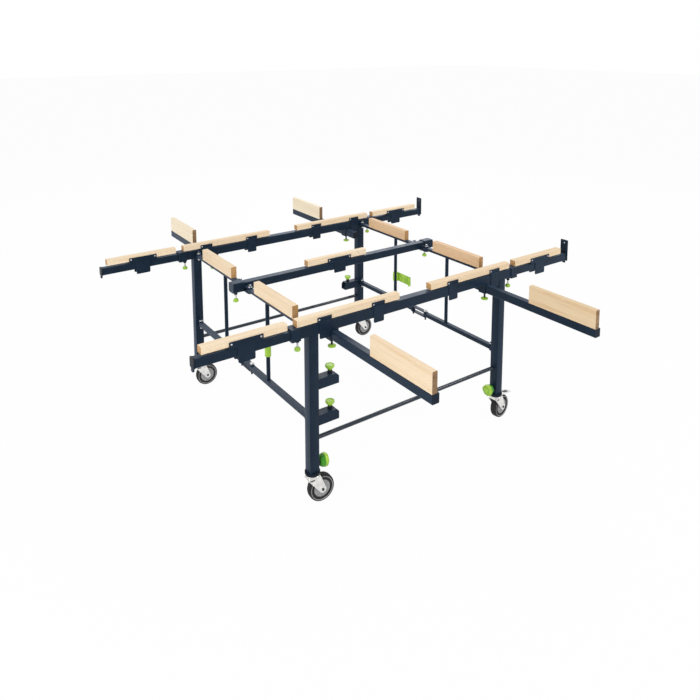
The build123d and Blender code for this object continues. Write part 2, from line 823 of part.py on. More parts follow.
build_long_frame("front", -1)
build_long_frame("back", 1)
for corner_y, sign_y in (("front", -1), ("back", 1)):
    for corner_x, sign_x in (("left", -1), ("right", 1)):
        build_corner(corner_y + "_" + corner_x, sign_x, sign_y)
build_end_frames()
build_centre()
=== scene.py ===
from math import atan2, cos, pi, radians, sin

import bpy
import bmesh
from mathutils import Matrix, Vector


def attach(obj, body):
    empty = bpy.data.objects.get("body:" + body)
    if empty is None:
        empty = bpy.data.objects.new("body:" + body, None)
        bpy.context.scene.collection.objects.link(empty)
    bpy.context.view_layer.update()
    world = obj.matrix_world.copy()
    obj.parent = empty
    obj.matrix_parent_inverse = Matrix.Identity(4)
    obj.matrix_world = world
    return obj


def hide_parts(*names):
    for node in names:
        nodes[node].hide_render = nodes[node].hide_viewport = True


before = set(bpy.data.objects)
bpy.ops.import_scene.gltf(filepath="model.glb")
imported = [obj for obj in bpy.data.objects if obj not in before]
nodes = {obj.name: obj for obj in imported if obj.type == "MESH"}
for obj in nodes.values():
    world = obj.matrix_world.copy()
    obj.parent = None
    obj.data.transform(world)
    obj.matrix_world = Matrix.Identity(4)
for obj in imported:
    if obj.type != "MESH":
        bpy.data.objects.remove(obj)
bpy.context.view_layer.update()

# Colours, linear
NAVY = (0.0028, 0.0112, 0.0255, 1)
NAVY_DUST = (0.0055, 0.0175, 0.0360, 1)
NAVY_SHEEN = (0.50, 0.68, 1.0, 1)
SPRUCE = (0.90, 0.735, 0.525, 1)
SPRUCE_LATE = (0.80, 0.585, 0.36, 1)
SPRUCE_PALE = (0.96, 0.84, 0.64, 1)
SPRUCE_PALE_LATE = (0.90, 0.74, 0.52, 1)
SPRUCE_MID = (0.80, 0.62, 0.40, 1)
SPRUCE_MID_LATE = (0.70, 0.48, 0.27, 1)
SPRUCE_WARM = (0.79, 0.545, 0.33, 1)
SPRUCE_WARM_LATE = (0.68, 0.42, 0.22, 1)
SPRUCE_END = (0.62, 0.36, 0.15, 1)
SPRUCE_END_LATE = (0.45, 0.24, 0.09, 1)
# The boards' end grain: darker end grain, and darker still as painted shade on the ends that face front
# and back
SHADED_BOARD_END = (0.36, 0.22, 0.115, 1)
SHADED_BOARD_END_LATE = (0.17, 0.09, 0.04, 1)
GREEN = (0.42, 0.70, 0.055, 1)
# A darker green: the blotches on the green plastic, and painted shade in the grooves of the big knobs'
# faces
GREEN_BLOTCH_AND_GROOVE_SHADE = (0.25, 0.48, 0.03, 1)
# Two greens of painted shade, for the shaded backs and ribs of the big knobs and the shaded lines on the
# hook tongues
GREEN_PAINTED_SHADE_BLOTCH = (0.07, 0.33, 0.016, 1)
GREEN_PAINTED_SHADE = (0.035, 0.26, 0.012, 1)
ZINC = (0.86, 0.85, 0.83, 1)
ZINC_DULL = (0.66, 0.65, 0.63, 1)
ZINC_TUBE_DULL = (0.78, 0.77, 0.76, 1)
TYRE = (0.022, 0.022, 0.024, 1)
TYRE_DUST = (0.036, 0.036, 0.038, 1)
DISC = (0.30, 0.30, 0.305, 1)
DISC_DUST = (0.36, 0.36, 0.365, 1)
# The raised rim's grey, paler than the disc as a painted highlight
RIM_HIGHLIGHT = (0.42, 0.42, 0.42, 1)
# Near black in the disc's deep channel, as painted shade
CHANNEL_SHADE = (0.045, 0.045, 0.047, 1)
CHANNEL_SHADE_DUST = (0.06, 0.06, 0.062, 1)
STEEL = (0.50, 0.51, 0.53, 1)
DARK_STEEL = (0.055, 0.055, 0.06, 1)
DARK_STEEL_DULL = (0.09, 0.09, 0.095, 1)
BLACK = (0.012, 0.014, 0.018, 1)
PAPER = (0.93, 0.93, 0.93, 1)
WHITE = (1, 1, 1, 1)

# Light: the share of pure white in the floor as seen, the tent's strength on the object and as seen,
# and each lamp's name, place, aim, size in metres and power in watts
FLOOR_WHITE_SHARE = 0.95
TENT_STRENGTH = 0.60
TENT_STRENGTH_SEEN = 1.0
LAMPS = (("key", (-4.4, -1.8, 3.2), (0, 0, 0.5), 3.0, 105),
         ("front", (0.8, -4.6, 2.4), (0, 0, 0.5), 2.5, 28),
         ("gleam", (3.2, -2.9, 3.7), (0, 0, 0.4), 1.0, 32),
         ("back", (2.8, 3.6, 3.2), (0, 0, 0.5), 2.5, 60))

# The photograph's view
VIEW_AZIMUTH = -35.36
VIEW_ELEVATION = 7.93
VIEW_EYE = (-1.6396, -2.4218, 1.6492)
VIEW_FOCAL_PX = 677.72
VIEW_CENTRE_PX = (354.81, 133.85)
IMAGE_PX = 700
SENSOR_MM = 36.0
CLIP_END = 50

# Grain of the coats and the wood, and how far the wood's noise is drawn out along X, Y and Z
GRAIN_SCALE = 900.0
GRAIN_DEPTH = 0.0002
ALONG_X = (0.045, 1.0, 1.0)
ALONG_Y = (1.0, 0.045, 1.0)
END_GRAIN = (0.6, 0.6, 1.6)


def add_camera():
    """The camera at the photograph's viewpoint, tilted a little and with its lens shifted far down."""
    data = bpy.data.cameras.new("camera")
    data.sensor_width = SENSOR_MM
    data.lens = VIEW_FOCAL_PX / IMAGE_PX * SENSOR_MM
    data.shift_x = (IMAGE_PX / 2 - VIEW_CENTRE_PX[0]) / IMAGE_PX
    data.shift_y = (VIEW_CENTRE_PX[1] - IMAGE_PX / 2) / IMAGE_PX
    data.clip_end = CLIP_END
    camera = bpy.data.objects.new("camera", data)
    bpy.context.scene.collection.objects.link(camera)
    azimuth, elevation = radians(VIEW_AZIMUTH), radians(VIEW_ELEVATION)
    back = Vector((sin(azimuth) * cos(elevation), -cos(azimuth) * cos(elevation), sin(elevation)))
    camera.location = VIEW_EYE
    camera.rotation_euler = back.to_track_quat("Z", "Y").to_euler()
    bpy.context.scene.camera = camera


def add_area_light(name, place, target, size, power):
    """A square lamp at a place, aimed at a target."""
    data = bpy.data.lights.new(name, "AREA")
    data.shape = "SQUARE"
    data.size = size
    data.energy = power
    lamp = bpy.data.objects.new(name, data)
    bpy.context.scene.collection.objects.link(lamp)
    lamp.location = place
    lamp.rotation_euler = (Vector(place) - Vector(target)).to_track_quat("Z", "Y").to_euler()


def background_rays(tree):
    """One where a ray comes from the camera, from gloss or through glass, and nought elsewhere."""
    path = tree.nodes.new("ShaderNodeLightPath")
    either = tree.nodes.new("ShaderNodeMath")
    either.operation = "MAXIMUM"
    any_of = tree.nodes.new("ShaderNodeMath")
    any_of.operation = "MAXIMUM"
    tree.links.new(path.outputs["Is Camera Ray"], either.inputs[0])
    tree.links.new(path.outputs["Is Glossy Ray"], either.inputs[1])
    tree.links.new(either.outputs[0], any_of.inputs[0])
    tree.links.new(path.outputs["Is Transmission Ray"], any_of.inputs[1])
    return any_of.outputs[0]


def add_light():
    """A bright tent of soft light, a large lamp at the left, weaker ones in front and behind, and a
    small one at the front right for the gleam on the tie rods."""
    world = bpy.data.worlds.new("studio")
    bpy.context.scene.world = world
    world.use_nodes = True
    tree = world.node_tree
    tree.nodes.clear()
    output = tree.nodes.new("ShaderNodeOutputWorld")
    tent = tree.nodes.new("ShaderNodeBackground")
    tent.inputs["Color"].default_value = WHITE
    tent.inputs["Strength"].default_value = TENT_STRENGTH
    white = tree.nodes.new("ShaderNodeBackground")
    white.inputs["Color"].default_value = WHITE
    white.inputs["Strength"].default_value = TENT_STRENGTH_SEEN
    mix = tree.nodes.new("ShaderNodeMixShader")
    tree.links.new(background_rays(tree), mix.inputs["Fac"])
    tree.links.new(tent.outputs[0], mix.inputs[1])
    tree.links.new(white.outputs[0], mix.inputs[2])
    tree.links.new(mix.outputs[0], output.inputs["Surface"])
    for lamp in LAMPS:
        add_area_light(*lamp)


# Shader building
def new_group(name, inputs, outputs):
    """An empty node group with named inputs (kind, default) and outputs."""
    group = bpy.data.node_groups.new(name, "ShaderNodeTree")
    for label, (kind, default) in inputs.items():
        socket = group.interface.new_socket(name=label, in_out="INPUT", socket_type="NodeSocket" + kind)
        if default is not None:
            socket.default_value = default
    for label, kind in outputs.items():
        group.interface.new_socket(name=label, in_out="OUTPUT", socket_type="NodeSocket" + kind)
    inlet = group.nodes.new("NodeGroupInput")
    outlet = group.nodes.new("NodeGroupOutput")
    return group, inlet, outlet


def mottle_group():
    """Soft blotches and a fine grain of a coated surface, as one mask and one height."""
    inputs = {"Blotch Scale": ("Float", 14.0)}
    group, inlet, outlet = new_group("coat mottle", inputs, {"Mask": "Float", "Height": "Float"})
    add, link = group.nodes.new, group.links.new
    place = add("ShaderNodeTexCoord")
    blotch = add("ShaderNodeTexNoise")
    blotch.inputs["Detail"].default_value = 4
    grain = add("ShaderNodeTexNoise")
    grain.inputs["Scale"].default_value = GRAIN_SCALE
    grain.inputs["Detail"].default_value = 1
    ramp = add("ShaderNodeMapRange")
    ramp.inputs["From Min"].default_value = 0.35
    ramp.inputs["From Max"].default_value = 0.70
    link(place.outputs["Object"], blotch.inputs["Vector"])
    link(place.outputs["Object"], grain.inputs["Vector"])
    link(inlet.outputs["Blotch Scale"], blotch.inputs["Scale"])
    link(blotch.outputs["Fac"], ramp.inputs["Value"])
    link(ramp.outputs["Result"], outlet.inputs["Mask"])
    link(grain.outputs["Fac"], outlet.inputs["Height"])
    return group


def wood_group():
    """Growth lines and fine fibres of a planed softwood strip, both drawn out along one axis."""
    inputs = {"Stretch": ("Vector", (1.0, 1.0, 1.0))}
    outputs = {"Lines": "Float", "Fibre": "Float", "Tone": "Float"}
    group, inlet, outlet = new_group("softwood", inputs, outputs)
    add, link = group.nodes.new, group.links.new
    place = add("ShaderNodeTexCoord")
    stretch = add("ShaderNodeVectorMath")
    stretch.operation = "MULTIPLY"
    link(place.outputs["Object"], stretch.inputs[0])
    link(inlet.outputs["Stretch"], stretch.inputs[1])
    layers = (("Lines", 75, 3, 0.62), ("Fibre", 420, 2, 0.5), ("Tone", 16, 1, 0.5))
    for label, scale, detail, rough in layers:
        streaks = add("ShaderNodeTexNoise")
        streaks.inputs["Scale"].default_value = scale
        streaks.inputs["Detail"].default_value = detail
        streaks.inputs["Roughness"].default_value = rough
        link(stretch.outputs[0], streaks.inputs["Vector"])
        link(streaks.outputs["Fac"], outlet.inputs[label])
    return group


def new_material(name):
    """A material with its node tree and its one shader."""
    material = bpy.data.materials.new(name)
    material.use_nodes = True
    tree = material.node_tree
    shader = tree.nodes["Principled BSDF"]
    return material, tree, shader


def mix_colours(tree, fac, first, second):
    """A colour mix node whose ends are colours or sockets."""
    mix = tree.nodes.new("ShaderNodeMix")
    mix.data_type = "RGBA"
    tree.links.new(fac, mix.inputs["Factor"])
    for socket, value in ((mix.inputs[6], first), (mix.inputs[7], second)):
        if isinstance(value, tuple):
            socket.default_value = value
        else:
            tree.links.new(value, socket)
    return mix.outputs[2]


def map_value(tree, value, low, high, start=0.0, end=1.0):
    """Spread the part of a mask between start and end over a range of values."""
    spread = tree.nodes.new("ShaderNodeMapRange")
    spread.inputs["From Min"].default_value = start
    spread.inputs["From Max"].default_value = end
    spread.inputs["To Min"].default_value = low
    spread.inputs["To Max"].default_value = high
    tree.links.new(value, spread.inputs["Value"])
    return spread.outputs["Result"]


def bump(tree, height, shader, strength):
    """Lay a fine relief over a shader's surface."""
    node = tree.nodes.new("ShaderNodeBump")
    node.inputs["Strength"].default_value = strength
    node.inputs["Distance"].default_value = GRAIN_DEPTH
    tree.links.new(height, node.inputs["Height"])
    tree.links.new(node.outputs["Normal"], shader.inputs["Normal"])


def coated(name, base, dusty, low, high, metallic=0.0, grain=0.25, blotch=14.0, specular=0.5):
    """A material with soft blotches in colour and gloss over a fine grain.

    The blotches turn the base colour dusty and the roughness from low to high."""
    material, tree, shader = new_material(name)
    effect = tree.nodes.new("ShaderNodeGroup")
    effect.node_tree = mottle_effect
    effect.inputs["Blotch Scale"].default_value = blotch
    tree.links.new(mix_colours(tree, effect.outputs["Mask"], base, dusty), shader.inputs["Base Color"])
    tree.links.new(map_value(tree, effect.outputs["Mask"], low, high), shader.inputs["Roughness"])
    bump(tree, effect.outputs["Height"], shader, grain)
    shader.inputs["Metallic"].default_value = metallic
    shader.inputs["Specular IOR Level"].default_value = specular
    return material


def softwood(name, stretch, light, late):
    """Planed spruce whose lines run along the stretched axis."""
    material, tree, shader = new_material(name)
    effect = tree.nodes.new("ShaderNodeGroup")
    effect.node_tree = softwood_effect
    effect.inputs["Stretch"].default_value = stretch
    lines = map_value(tree, effect.outputs["Lines"], 0.0, 1.0, 0.50, 0.72)
    tone = map_value(tree, effect.outputs["Tone"], 0.0, 0.55, 0.38, 0.68)
    first = mix_colours(tree, lines, light, late)
    tree.links.new(mix_colours(tree, tone, first, late), shader.inputs["Base Color"])
    tree.links.new(map_value(tree, effect.outputs["Fibre"], 0.50, 0.68), shader.inputs["Roughness"])
    shader.inputs["Specular IOR Level"].default_value = 0.35
    bump(tree, effect.outputs["Fibre"], shader, 0.25)
    return material


mottle_effect = mottle_group()
softwood_effect = wood_group()
navy_coat = coated("navy powder coat", NAVY, NAVY_DUST, 0.34, 0.46, specular=0.12)
navy_shader = navy_coat.node_tree.nodes["Principled BSDF"]
navy_shader.inputs["Sheen Weight"].default_value = 0.30
navy_shader.inputs["Sheen Roughness"].default_value = 0.45
navy_shader.inputs["Sheen Tint"].default_value = NAVY_SHEEN
black_plastic = coated("black plastic", BLACK, NAVY, 0.42, 0.55, grain=0.15, specular=0.15)
# Painted shade: a dark green for the parts of the knobs and hooks that lie in shade
painted_shade_green = coated("green plastic with painted shade", GREEN_PAINTED_SHADE, GREEN_PAINTED_SHADE_BLOTCH, 0.30, 0.42, blotch=30.0, specular=0.3)
green_plastic = coated("green plastic", GREEN, GREEN_BLOTCH_AND_GROOVE_SHADE, 0.32, 0.42, blotch=30.0)
# Painted shade for the grooves in the big knobs' faces
painted_groove_shade = coated("green plastic with painted groove shade", GREEN_BLOTCH_AND_GROOVE_SHADE, GREEN_BLOTCH_AND_GROOVE_SHADE, 0.32, 0.42, blotch=30.0)
zinc_plate = coated("zinc plate", ZINC, ZINC_DULL, 0.24, 0.40, metallic=0.9, blotch=60.0)
zinc_tube = coated("zinc tube", ZINC, ZINC_TUBE_DULL, 0.28, 0.34, metallic=0.9, blotch=8.0)
tyre_rubber = coated("tyre rubber", TYRE, TYRE_DUST, 0.60, 0.75, blotch=40.0, specular=0.15)
painted_channel_shade = coated("disc plastic with painted channel shade", CHANNEL_SHADE, CHANNEL_SHADE_DUST, 0.5, 0.6, specular=0.2)
painted_rim_highlight = coated("disc plastic with painted rim highlight", RIM_HIGHLIGHT, DISC_DUST, 0.40, 0.52, blotch=40.0, specular=0.3)
disc_plastic = coated("disc plastic", DISC, DISC_DUST, 0.42, 0.55, blotch=40.0, specular=0.3)
dark_steel = coated("blackened steel", DARK_STEEL, DARK_STEEL_DULL, 0.30, 0.42, metallic=0.9, blotch=60.0)
pin_steel = coated("pin steel", STEEL, ZINC_DULL, 0.22, 0.34, metallic=1.0, blotch=60.0)
spruce_along_x = softwood("spruce along the rails", ALONG_X, SPRUCE, SPRUCE_LATE)
spruce_along_y = softwood("spruce across the table", ALONG_Y, SPRUCE, SPRUCE_LATE)
pale_spruce = softwood("pale spruce", ALONG_Y, SPRUCE_PALE, SPRUCE_PALE_LATE)
mid_spruce = softwood("mid spruce", ALONG_Y, SPRUCE_MID, SPRUCE_MID_LATE)
warm_spruce = softwood("warm spruce", ALONG_Y, SPRUCE_WARM, SPRUCE_WARM_LATE)
spruce_end = softwood("spruce end grain", END_GRAIN, SPRUCE_END, SPRUCE_END_LATE)
shaded_board_end = softwood("board end grain with painted shade", END_GRAIN, SHADED_BOARD_END, SHADED_BOARD_END_LATE)
rod_coat = coated("tie rod coat", NAVY, NAVY_DUST, 0.10, 0.14, grain=0.1, specular=0.30)
rod_shader = rod_coat.node_tree.nodes["Principled BSDF"]
rod_shader.inputs["Coat Weight"].default_value = 0.35
rod_shader.inputs["Coat Roughness"].default_value = 0.06


def set_material(obj, material):
    """Give a piece one finish all over."""
    obj.data.materials.clear()
    obj.data.materials.append(material)


# Modelling
MM = 0.001
CORNERS = {"front_left": (-1, -1), "front_right": (1, -1), "back_left": (-1, 1), "back_right": (1, 1)}
SWIVEL_TURN = {"front_left": -5, "front_right": 9, "back_left": -3, "back_right": 2}
BRAKED = ("front_right", "back_right")

# Places, as the solids have them
LEG_X = 470 * MM
LEG_Y = 512 * MM
LEG_SIZE = 38 * MM
PIVOT_Y = 480 * MM
LINK_Y = 45 * MM
POST_Y = 190 * MM
WHEEL_X = 32 * MM
WHEEL_Z = 50 * MM
LEG_KNOB_Z = 148 * MM
TIE_ROD_Z = 242.5 * MM
HOOK_Z = 420 * MM
SOCKET_TOPS = (("low", 335 * MM), ("high", 471 * MM))
RAIL_KNOB_Z = 633.5 * MM
ARM_KNOB_Z = 598.3 * MM
CENTRE_KNOB_Z = 639 * MM
CLIP_SCREW_Z = 687 * MM
PIN_HEADS_Z = (661.32 * MM, 333.82 * MM)
NUTS_Z = (640.7 * MM, 306.2 * MM)
EXTENSION_CAP_X = 898.9 * MM
EXTENSION_Z = 656 * MM

# Shares of a lobed knob's radius, and sizes in millimetres of the stems' threads and the tie rods
WAIST = 0.84
ROUNDING = 0.30
THREAD_DEPTH = 0.35
TIE_ROD_R = 8


def new_edit():
    """Let go of everything, so that the next primitive stands alone."""
    if bpy.context.object and bpy.context.object.mode == "EDIT":
        bpy.ops.object.mode_set(mode="OBJECT")
    bpy.ops.object.select_all(action="DESELECT")


def take(piece):
    """Make one piece the selected and active one."""
    new_edit()
    piece.select_set(True)
    bpy.context.view_layer.objects.active = piece


def pick_faces(test):
    """Select in edit mode the faces whose centre and normal pass a test."""
    bpy.ops.mesh.select_mode(type="FACE")
    bpy.ops.mesh.select_all(action="DESELECT")
    mesh = bmesh.from_edit_mesh(bpy.context.object.data)
    for face in mesh.faces:
        face.select_set(bool(test(face.calc_center_median(), face.normal)))
    bmesh.update_edit_mesh(bpy.context.object.data)


def pick_points(test):
    """Select in edit mode the corners whose place passes a test."""
    bpy.ops.mesh.select_mode(type="VERT")
    bpy.ops.mesh.select_all(action="DESELECT")
    mesh = bmesh.from_edit_mesh(bpy.context.object.data)
    for point in mesh.verts:
        point.select_set(bool(test(point.co)))
    mesh.select_flush(True)
    bmesh.update_edit_mesh(bpy.context.object.data)


def pick_edges(test):
    """Select in edit mode the edges whose two ends pass a test."""
    bpy.ops.mesh.select_mode(type="EDGE")
    bpy.ops.mesh.select_all(action="DESELECT")
    mesh = bmesh.from_edit_mesh(bpy.context.object.data)
    for edge in mesh.edges:
        edge.select_set(bool(test(edge.verts[0].co, edge.verts[1].co)))
    bmesh.update_edit_mesh(bpy.context.object.data)


def close_edit():
    """Point all faces outwards and leave edit mode."""
    bpy.ops.mesh.select_all(action="SELECT")
    bpy.ops.mesh.normals_make_consistent(inside=False)
    bpy.ops.object.mode_set(mode="OBJECT")
    return bpy.context.object


def rise(rings, pull):
    """Pull the selected cap or loop from ring to ring, each a radius and a height."""
    radius, height = rings[0]
    for next_radius, next_height in rings[1:]:
        pull(TRANSFORM_OT_translate={"value": (0, 0, next_height - height)})
        share = next_radius / radius
        bpy.ops.transform.resize(value=(share, share, 1), center_override=(0, 0, next_height))
        radius, height = next_radius, next_height


def first_ring(ring, sides, fill):
    """A circle with a ring's radius, at its height, selected in edit mode."""
    radius, height = ring
    new_edit()
    bpy.ops.mesh.primitive_circle_add(vertices=sides, radius=radius, fill_type=fill, location=(0, 0, 0))
    bpy.ops.object.mode_set(mode="EDIT")
    bpy.ops.mesh.select_all(action="SELECT")
    bpy.ops.transform.translate(value=(0, 0, height))


def in_mm(rings):
    """Rings given in millimetres, as metres."""
    return [(radius * MM, height * MM) for radius, height in rings]


def turned(rings, sides=48):
    """A closed turned shape about Z, pulled up ring by ring from a filled circle."""
    first_ring(rings[0], sides, "NGON")
    rise(rings, bpy.ops.mesh.extrude_region_move)
    return close_edit()


def turned_ring(rings, sides=64):
    """A turned shape about Z with a hole through it: the last ring is bridged to the first."""
    first_ring(rings[0], sides, "NOTHING")
    rise(rings, bpy.ops.mesh.extrude_edges_move)
    bpy.ops.mesh.select_all(action="DESELECT")
    bpy.ops.mesh.select_mode(type="EDGE")
    bpy.ops.mesh.select_non_manifold()
    bpy.ops.mesh.bridge_edge_loops()
    return close_edit()


def lobed(rings):
    """A shape like a turned one, whose outline is a triangle with round corners and full sides."""
    new_edit()
    radius = rings[0][0]
    bpy.ops.mesh.primitive_circle_add(vertices=6, radius=radius, fill_type="NGON", location=(0, 0, 0))
    bpy.ops.object.mode_set(mode="EDIT")
    flats = [Vector((-sin(radians(60 * i)), cos(radians(60 * i)), 0)) for i in (1, 3, 5)]
    pick_points(lambda p: any((p.normalized() - flat).length < 0.1 for flat in flats))
    bpy.ops.transform.resize(value=(WAIST, WAIST, 1), center_override=(0, 0, 0))
    pick_points(lambda p: p.length > radius * 0.97)
    bpy.ops.mesh.bevel(offset=ROUNDING * radius, segments=9, affect="VERTICES", profile=0.5)
    pick_points(lambda p: abs(p.length - radius * WAIST) < radius * 0.01)
    bpy.ops.mesh.bevel(offset=ROUNDING * radius * 0.6, segments=5, affect="VERTICES", profile=0.5)
    bpy.ops.mesh.select_all(action="SELECT")
    bpy.ops.transform.translate(value=(0, 0, rings[0][1]))
    bpy.ops.mesh.select_mode(type="FACE")
    bpy.ops.mesh.select_all(action="SELECT")
    rise(rings, bpy.ops.mesh.extrude_region_move)
    return close_edit()


def plate(low, high):
    """A box between two corners, as the start of a sheet part."""
    new_edit()
    centre = [(a + b) / 2 for a, b in zip(low, high)]
    bpy.ops.mesh.primitive_cube_add(size=1, location=centre, scale=[b - a for a, b in zip(low, high)])
    bpy.ops.object.transform_apply(location=True, rotation=True, scale=True)
    return bpy.context.object


def join(*pieces):
    """Make one piece of several."""
    take(pieces[0])
    for piece in pieces:
        piece.select_set(True)
    bpy.ops.object.join()
    return bpy.context.object


def drop(*pieces):
    """Delete pieces that have served."""
    for piece in pieces:
        bpy.data.objects.remove(piece, do_unlink=True)


def combine(piece, others, operation):
    """Work other shapes into a piece one after the other, and delete them."""
    for other in others:
        take(piece)
        change = piece.modifiers.new("shape", "BOOLEAN")
        change.operation = operation
        change.object = other
        bpy.ops.object.modifier_apply(modifier=change.name)
        drop(other)
    return piece


def cut(piece, *tools):
    """Take other shapes away from a piece."""
    return combine(piece, tools, "DIFFERENCE")


def unite(piece, *others):
    """Add other shapes to a piece."""
    return combine(piece, others, "UNION")


def soften(piece, width, segments=2, angle=32):
    """Round the sharp edges of a piece."""
    take(piece)
    edge = piece.modifiers.new("soft edges", "BEVEL")
    edge.width = width
    edge.segments = segments
    edge.limit_method = "ANGLE"
    edge.angle_limit = radians(angle)
    bpy.ops.object.modifier_apply(modifier=edge.name)
    return piece


def smooth(piece, angle=35):
    """Shade a piece smooth but for its sharp edges."""
    take(piece)
    bpy.ops.object.shade_smooth_by_angle(angle=radians(angle))
    return piece


def turn_piece(piece, *turns):
    """Turn a piece about the origin, one axis after the other, and keep the turn in its mesh."""
    for axis, degrees in turns:
        take(piece)
        piece.matrix_world = Matrix.Rotation(radians(degrees), 4, axis)
        bpy.ops.object.transform_apply(location=True, rotation=True, scale=True)
    return piece


def move_piece(piece, place):
    """Move a piece and keep the move in its mesh."""
    take(piece)
    piece.location = place
    bpy.ops.object.transform_apply(location=True, rotation=True, scale=True)
    return piece


def copy_of(piece):
    """A second piece with a mesh of its own."""
    other = piece.copy()
    other.data = piece.data.copy()
    bpy.context.scene.collection.objects.link(other)
    return other


def finish_piece(piece, name, body, slot, *replaced):
    """Name a piece, let it ride its body, and hide the solids that it stands for."""
    piece.name = name
    piece.data.name = name
    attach(piece, body)
    if replaced:
        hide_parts(*replaced)
    return piece


# Casters
def tyre_model():
    """A tyre about Z with two shallow grooves and slits across its shoulders."""
    half = [(44.2, 12.6), (44.8, 14.0), (46.2, 14.3), (47.6, 13.2), (48.9, 11.2), (49.7, 8.6),
            (49.95, 6.2), (49.0, 5.8), (49.0, 4.9), (50.0, 4.5), (50.0, 1.4)]
    rings = in_mm([(r, -z) for r, z in half] + half[::-1])
    tyre = turned_ring(rings, sides=96)
    take(tyre)
    bpy.ops.object.mode_set(mode="EDIT")

    def shoulder(centre, normal):
        around = int(round((pi + atan2(centre.y, centre.x)) / (2 * pi) * 96 - 0.5))
        high = 6.6 * MM < abs(centre.z) < 12.6 * MM
        return high and centre.to_2d().length > 47.5 * MM and around % 3 == 0
    pick_faces(shoulder)
    bpy.ops.mesh.inset(thickness=0.35 * MM, depth=-0.8 * MM, use_individual=False)
    close_edit()
    set_material(tyre, tyre_rubber)
    return smooth(tyre, 40)


def disc_model():
    """The wheel's disc: a raised rim painted pale as a highlight, a deep channel painted dark as shade,
    and a dished centre with ribs and hub.
    """
    half = [(4.0, 17.4), (14.0, 17.4), (15.6, 16.6), (16.0, 14.6), (18.0, 13.4), (31.2, 12.2),
            (32.6, 11.2), (33.2, 6.5), (39.4, 6.0), (40.8, 7.0), (41.4, 12.6), (42.2, 13.7),
            (43.6, 13.8), (44.3, 12.9)]
    rings = in_mm([(r, -z) for r, z in half] + half[::-1])
    disc = turned(rings, sides=96)
    set_material(disc, disc_plastic)
    disc.data.materials.append(painted_channel_shade)
    disc.data.materials.append(painted_rim_highlight)
    # Painted light: the channel's faces take a near black as shade, the raised rim's faces a paler grey as
    # highlight
    for face in disc.data.polygons:
        reach = face.center.to_2d().length
        if 31.5 * MM < reach < 41.2 * MM:
            face.material_index = 1
        elif reach > 41.2 * MM:
            face.material_index = 2
    ribs = []
    for side in (-1, 1):
        for index in range(8):
            z0, z1 = sorted((side * 11.6 * MM, side * 14.0 * MM))
            rib = plate((15.6 * MM, -0.8 * MM, z0), (30.8 * MM, 0.8 * MM, z1))
            soften(rib, 0.5 * MM)
            ribs.append(turn_piece(rib, ("Z", 45 * index)))
    ribs = join(*ribs)
    set_material(ribs, disc_plastic)
    return smooth(join(disc, ribs), 30)


def cheek_model(side):
    """One cheek of the fork: a flat web that tapers from the crown to a round foot."""
    y = side * (18 * MM + 1.25 * MM)
    new_edit()
    bpy.ops.mesh.primitive_cylinder_add(vertices=48, radius=13 * MM, depth=2.5 * MM,
                                        location=(WHEEL_X, y, WHEEL_Z), rotation=(radians(90), 0, 0))
    bpy.ops.object.mode_set(mode="EDIT")
    bpy.ops.mesh.primitive_cube_add(size=1, location=(-1.5 * MM, y, 102.45 * MM),
                                    scale=(51 * MM, 2.5 * MM, 2.5 * MM))
    bpy.ops.mesh.select_all(action="SELECT")
    bpy.ops.mesh.convex_hull()
    cheek = close_edit()
    bpy.ops.object.transform_apply(location=True, rotation=True, scale=True)
    return cheek


def fork_model(braked):
    """The fork with its race, axle bolt, stem and, if braked, its foot lever, trailing along +X."""
    crown = plate((-27 * MM, -20.5 * MM, 101.2 * MM), (24 * MM, 20.5 * MM, 103.7 * MM))
    body = unite(crown, cheek_model(-1), cheek_model(1))
    window = plate((-19.5 * MM, -40 * MM, 93.6 * MM), (1 * MM, 40 * MM, 98.8 * MM))
    bpy.ops.object.mode_set(mode="EDIT")
    pick_edges(lambda a, b: abs(a.x - b.x) < MM and abs(a.z - b.z) < MM)
    bpy.ops.mesh.bevel(offset=2.5 * MM, segments=8, profile=0.5)
    close_edit()
    cut(body, window)
    soften(body, 0.9 * MM, 3)
    cup = turned(in_mm([(11.5, 98.4), (14.5, 98.9), (16.0, 100.2), (16.4, 101.4)]))
    race = turned(in_mm([(26.4, 103.6), (27.0, 104.0), (27.0, 106.0), (26.4, 106.4), (24.8, 106.5),
                         (24.8, 107.5), (24.0, 107.7)]), sides=64)
    upper = turned_ring(in_mm([(24.2, 107.2), (26.6, 107.2), (27.2, 107.7), (27.2, 111.3),
                               (26.6, 111.9), (24.2, 111.9)]), sides=64)
    stem = turned(in_mm([(5.5, 107.0), (5.5, 137.0), (4.6, 138.0)]), sides=24)
    pieces = [body, cup, race, upper, stem]
    for side in (-1, 1):
        bolt = turned(in_mm([(5.3, 20.3), (5.3, 21.2), (4.3, 21.3), (4.3, 23.4), (3.8, 24.0),
                             (2.6, 24.0), (2.4, 22.6)]), sides=36)
        set_material(bolt, dark_steel)
        turn_piece(bolt, ("X", -90 * side))
        move_piece(bolt, (WHEEL_X, 0, WHEEL_Z))
        pieces.append(bolt)
        rod = turned(in_mm([(4.0, 17.0), (4.0, 20.6)]), sides=24)
        set_material(rod, pin_steel)
        turn_piece(rod, ("X", -90 * side))
        move_piece(rod, (WHEEL_X, 0, WHEEL_Z))
        pieces.append(rod)
    for piece in pieces[:5]:
        set_material(piece, zinc_plate)
    fork = join(*pieces)
    if braked:
        fork = join(fork, brake_lever_model())
    return smooth(fork, 30)


